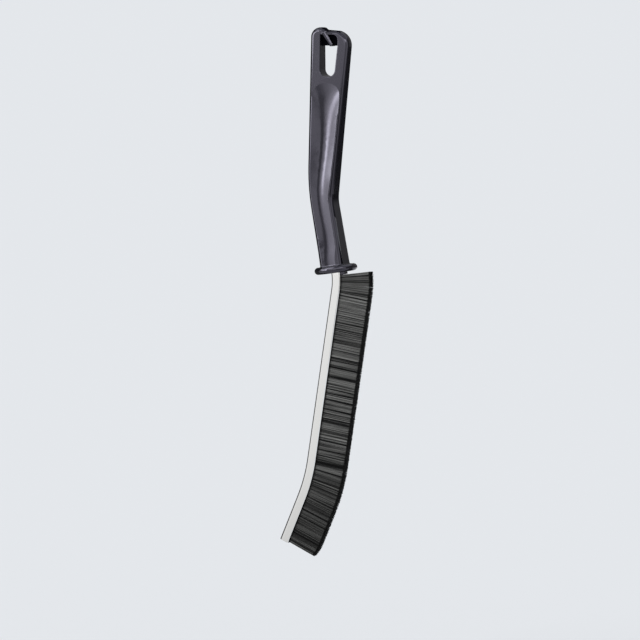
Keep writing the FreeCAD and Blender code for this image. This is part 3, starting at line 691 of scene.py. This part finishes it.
def rowSplay(distance):
    top = 1 - (distance - bristles["rowStart"]) / bristles["splayLength"]
    foot = 1 - (headLength - bristles["rowMargin"] - distance) / bristles["splayLength"]
    lean = bristles["endSplay"] * max(0, foot) - bristles["topSplay"] * max(0, top)
    return math.tan(math.radians(lean))


def rowTrim(distance):
    foot = 1 - (headLength - bristles["rowMargin"] - distance) / bristles["trimLength"]
    return bristles["endTrim"] * max(0, foot) ** 2


def rowLine(start, end):  # a mesh line just below the channel's mouth
    mouth = channel["depth"] - channel["thick"] / 2
    count = max(2, round((end - start) / bristles["rowStep"]))
    distances = [start + (end - start) * step / count for step in range(count + 1)]
    points = []
    for distance in distances:
        place, heading = headPlace(distance)
        points.append(place + outward(heading) * (mouth - bristles["fold"]))
    mesh = bpy.data.meshes.new("rowLine")
    mesh.from_pydata(points, [(step, step + 1) for step in range(count)], [])
    kept = {
        "splay": [rowSplay(distance) for distance in distances],
        "trim": [rowTrim(distance) for distance in distances],
        "distance": distances,
    }
    for name, values in kept.items():
        mesh.attributes.new(name, "FLOAT", "POINT").data.foreach_set("value", values)
    return mesh


def makeBristles(material):
    tree = bristleTree(material)
    names = sorted(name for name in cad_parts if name.startswith("bristle_bundle"))
    share = math.ceil(len(names) / bristles["stretches"])
    groups = [names[first:first + share] for first in range(0, len(names), share)]
    edges = [bristles["rowStart"]]
    for before, after in zip(groups, groups[1:]):
        edges.append((bundleDistance(before[-1]) + bundleDistance(after[0])) / 2)
    edges.append(headLength - bristles["rowMargin"])
    for index, group in enumerate(groups):
        start, end = edges[index], edges[index + 1]
        seedPiece = addObject("rowLine", rowLine(start, end))
        grow = seedPiece.modifiers.new("bristleRow", "NODES")
        grow.node_group = tree
        settings = {
            "Count": round((end - start) * bristles["perMetre"]),
            "Seed": bristles["seed"] + index,
            "Radius": bristles["radius"],
            "Reach": bristles["reach"] + bristles["fold"],
            "Root Thickness": bristles["rootThick"],
            "Tip Thickness": bristles["tipThick"],
            "Spacing": bristles["wander"],
            "Drift": bristles["drift"],
        }
        for name, value in settings.items():
            grow[socketOf(tree, name)] = value
        seen = seedPiece.evaluated_get(bpy.context.evaluated_depsgraph_get())
        mesh = bpy.data.meshes.new_from_object(seen)
        bpy.data.objects.remove(seedPiece)
        mesh.name = f"bristleRow{index + 1}"
        addPiece(mesh.name, mesh, material, "bristle_nylon", *group)
        print("bristles:", mesh.name, settings["Count"], "filaments,", len(mesh.polygons), "faces")


# plain pale floor, even light from the sky and one soft sun, and cards that only reflections see
studio = {
    "pale": (0.775, 0.799, 0.831, 1),
    "drop": 0.055,  # floor below the lowest tip
    "floorSize": 60.0,
    "floorGain": 1.04,
    "skyLevel": 0.70,
    "sunLevel": 1.05,
    "sunAzimuth": -38.0,
    "sunElevation": 52.0,
    "sunAngle": 40.0,
    "tentMiddle": (0.0, 0.0, -0.05),
    "tentRadius": 0.80,
    "nearRadius": 0.06,
    "cardStep": 3.0,  # degrees of a card between its points
    "cardSteps": 4,  # and the fewest of them
}

# azimuths in degrees, heights from the tent's middle, brightness at either side along the foot and the top
cards = {
    "loopFront": (-31.0, -20.0, 0.025, 0.40, (1.4, 1.4), (1.4, 1.4)),
    "rise": (-30.0, -24.0, -0.055, 0.025, (2.4, 0.7), (3.0, 1.2)),
    "riseLow": (-30.0, -20.0, -0.20, -0.055, (2.1, 0.9), (2.2, 0.6)),
    "peakNear": (-34.0, -30.0, 0.003, 0.40, (11.0, 4.0), (11.0, 4.0)),
    "peakFar": (-40.0, -34.0, 0.003, 0.40, (3.6, 11.0), (6.0, 11.0)),
    "rampNear": (-34.0, -30.0, -0.020, 0.003, (3.8, 2.8), (11.0, 4.0)),
    "rampFar": (-40.0, -34.0, -0.020, 0.003, (3.8, 3.8), (3.6, 11.0)),
    "peakTurn": (-40.0, -30.0, -0.060, -0.020, (2.8, 2.2), (3.8, 2.8)),
    "peakLow": (-40.0, -30.0, -0.20, -0.060, (2.4, 2.1), (2.8, 2.2)),
    "sideHigh": (-46.0, -40.0, 0.035, 0.40, (6.0, 6.0), (6.0, 6.0)),
    "sideRamp": (-46.0, -40.0, 0.010, 0.035, (3.4, 3.4), (6.0, 6.0)),
    "sideTurn": (-46.0, -40.0, -0.060, 0.010, (2.8, 2.8), (3.4, 3.4)),
    "sideLow": (-46.0, -40.0, -0.24, -0.060, (2.4, 2.4), (2.8, 2.8)),
    "gap": (-24.0, -18.0, -0.055, 0.025, (0.45, 0.45), (0.30, 0.50)),
    "fill": (-18.0, 25.0, -0.018, 0.025, (1.60, 1.60), (1.40, 1.40)),
    "fillDark": (-18.0, 25.0, -0.034, -0.018, (0.45, 0.45), (0.30, 0.30)),
    "fillHigh": (-20.0, 25.0, 0.025, 0.30, (1.5, 1.5), (2.0, 2.2)),
    "fillTop": (-20.0, 25.0, 0.30, 0.60, (2.0, 2.4), (2.4, 2.4)),
    "fillTurn": (-18.0, 25.0, -0.060, -0.034, (2.00, 2.00), (1.60, 1.60)),
    "fillLow": (-18.0, 25.0, -0.20, -0.060, (0.50, 0.50), (0.60, 0.60)),
    "turn": (25.0, 62.0, -0.055, 0.25, (0.90, 0.70), (0.80, 0.70)),
    "turnHigh": (25.0, 62.0, 0.25, 0.45, (0.80, 0.70), (2.6, 6.0)),
    "turnTop": (25.0, 62.0, 0.45, 0.65, (2.6, 6.0), (2.6, 6.0)),
    "turnLow": (25.0, 60.0, -0.24, -0.055, (0.10, 0.10), (0.20, 0.20)),
    "bevel": (62.0, 80.0, -0.055, 0.60, (1.2, 1.2), (1.2, 1.2)),
    "bevelLow": (60.0, 80.0, -0.24, -0.055, (0.70, 0.70), (0.85, 0.85)),
    "back": (80.0, 130.0, -0.155, 0.60, (0.25, 0.05), (0.30, 0.10)),
    "backCurtain": (130.0, 216.0, -0.155, -0.060, (0.03, 0.03), (0.03, 0.03)),
    "backFoot": (80.0, 216.0, -0.24, -0.155, (0.90, 1.40), (0.90, 1.40)),
    "backTurn": (130.0, 216.0, -0.060, 0.030, (0.03, 0.03), (0.20, 0.20)),
    "backHigh": (130.0, 216.0, 0.030, 0.60, (0.20, 0.20), (0.20, 0.20)),
    "edge": (-74.0, -46.0, 0.056, 0.40, (4.0, 6.0), (5.5, 5.5)),
    "edgeTurn": (-58.0, -46.0, 0.023, 0.056, (5.0, 5.0), (7.0, 7.0)),
    "edgeRamp": (-58.0, -46.0, 0.009, 0.023, (2.8, 2.8), (5.0, 5.0)),
    "edgeLow": (-58.0, -46.0, -0.24, 0.009, (2.4, 2.4), (2.8, 2.8)),
    "edgeCurtain": (-74.0, -58.0, -0.24, 0.056, (0.05, 0.05), (0.05, 0.05)),
    "leftCurtain": (-144.0, -74.0, -0.24, 0.60, (0.05, 0.05), (0.05, 0.05)),
}

# a near panel for the steel, below what the grip mirrors
nearCards = {
    "steelFront": (-76.0, -12.0, -0.135, -0.053, (0.80, 0.74), (0.86, 0.84)),
    "steelFoot": (-76.0, -12.0, -0.24, -0.135, (0.60, 0.40), (0.80, 0.74)),
    "steelSide": (-160.0, -76.0, -0.24, -0.053, (0.06, 0.12), (0.06, 0.12)),
}


def facing(azimuth, elevation=0.0):
    turn, rise = math.radians(azimuth), math.radians(elevation)
    return Vector((math.sin(turn) * math.cos(rise), -math.cos(turn) * math.cos(rise), math.sin(rise)))


def lookBack(thing, way):  # turned to look from that way
    thing.rotation_mode = "QUATERNION"
    thing.rotation_quaternion = (-way).to_track_quat("-Z", "Y")


def makeFloor():
    low, high = cadBox
    ground = low.z - studio["drop"]
    half = studio["floorSize"] / 2
    corners = ((-half, -half), (half, -half), (half, half), (-half, half))
    mesh = bpy.data.meshes.new("floor")
    mesh.from_pydata([(x, y, ground) for x, y in corners], [], [(0, 1, 2, 3)])
    floor = addObject("floor", mesh)
    material, tree = newMaterial("paleFloor")
    colour = [min(1, level * studio["floorGain"]) for level in studio["pale"]]
    showSurface(tree, addNode(tree, "ShaderNodeBsdfDiffuse", Color=colour))
    mesh.materials.append(material)


def makeWorld():
    world = bpy.data.worlds.new("studio")
    scene.world = world
    world.use_nodes = True
    tree = world.node_tree
    tree.nodes.clear()
    rays = addNode(tree, "ShaderNodeLightPath", (-600, 200)).outputs
    seen = maths(tree, "MAXIMUM", (-400, 200), rays["Is Camera Ray"], rays["Is Glossy Ray"])
    seen = maths(tree, "MAXIMUM", (-200, 200), seen, rays["Is Transmission Ray"])
    light = addNode(tree, "ShaderNodeBackground", (-200, 0), Color=(1, 1, 1, 1), Strength=studio["skyLevel"])
    backdrop = addNode(tree, "ShaderNodeBackground", (-200, -150), Color=studio["pale"])
    mix = addNode(tree, "ShaderNodeMixShader", Fac=seen)
    feed(tree, mix.inputs[1], light.outputs[0])
    feed(tree, mix.inputs[2], backdrop.outputs[0])
    addNode(tree, "ShaderNodeOutputWorld", (200, 0), Surface=mix.outputs[0])


def makeSun():
    data = bpy.data.lights.new("softSun", "SUN")
    data.energy = studio["sunLevel"]
    data.angle = math.radians(studio["sunAngle"])
    lookBack(addObject("softSun", data), facing(studio["sunAzimuth"], studio["sunElevation"]))


def makeCard(name, radius, first, last, low, high, lowLevels, highLevels):
    steps = max(studio["cardSteps"], round((last - first) / studio["cardStep"]))
    middle = Vector(studio["tentMiddle"])
    points = []
    levels = []
    for step in range(steps + 1):
        share = step / steps
        way = facing(first + (last - first) * share) * radius
        points += [middle + way + Vector((0, 0, low)), middle + way + Vector((0, 0, high))]
        levels += [before + (after - before) * share for before, after in (lowLevels, highLevels)]
    faces = [(2 * step, 2 * step + 1, 2 * step + 3, 2 * step + 2) for step in range(steps)]
    mesh = bpy.data.meshes.new(name)
    mesh.from_pydata(points, [], faces)
    mesh.attributes.new("glow", "FLOAT", "POINT").data.foreach_set("value", levels)
    card = addObject(name, mesh)
    material, tree = newMaterial(name)
    glow = addNode(tree, "ShaderNodeAttribute", (-300, 0), {"attribute_name": "glow"})
    showSurface(tree, addNode(tree, "ShaderNodeEmission", Strength=glow.outputs["Fac"]))
    mesh.materials.append(material)
    for ray in ("camera", "diffuse", "transmission", "volume_scatter", "shadow"):
        setattr(card, "visible_" + ray, False)


def makeStudio():
    makeFloor()
    makeWorld()
    makeSun()
    for name, card in cards.items():
        makeCard(name, studio["tentRadius"], *card)
    for name, card in nearCards.items():
        makeCard(name, studio["nearRadius"], *card)


# the photograph's view
view = {
    "azimuth": 25.0,
    "elevation": 5.0,
    "target": (-0.00543, 0.0, -0.11945),
    "frameWidth": 0.2786,  # seen at the target
    "lens": 300.0,
    "sensor": 36.0,
    "clipEnd": 200.0,
}


def makeCamera():
    data = bpy.data.cameras.new("camera")
    data.lens = view["lens"]
    data.sensor_width = view["sensor"]
    data.clip_end = view["clipEnd"]
    camera = addObject("camera", data)
    way = facing(view["azimuth"], view["elevation"])
    camera.location = Vector(view["target"]) + way * (view["frameWidth"] * view["lens"] / view["sensor"])
    lookBack(camera, way)
    scene.camera = camera


makeCamera()
makeStudio()
print("studio ready")
makeHandle(plasticMaterial("moulded"), plasticMaterial("pocketShade"))
print("handle ready")
dressNode("core_wire", steelMaterial("drawnWire"))
makeChannel(steelMaterial("foldedSteel"))
print("channel ready")
makeBristles(nylonMaterial())
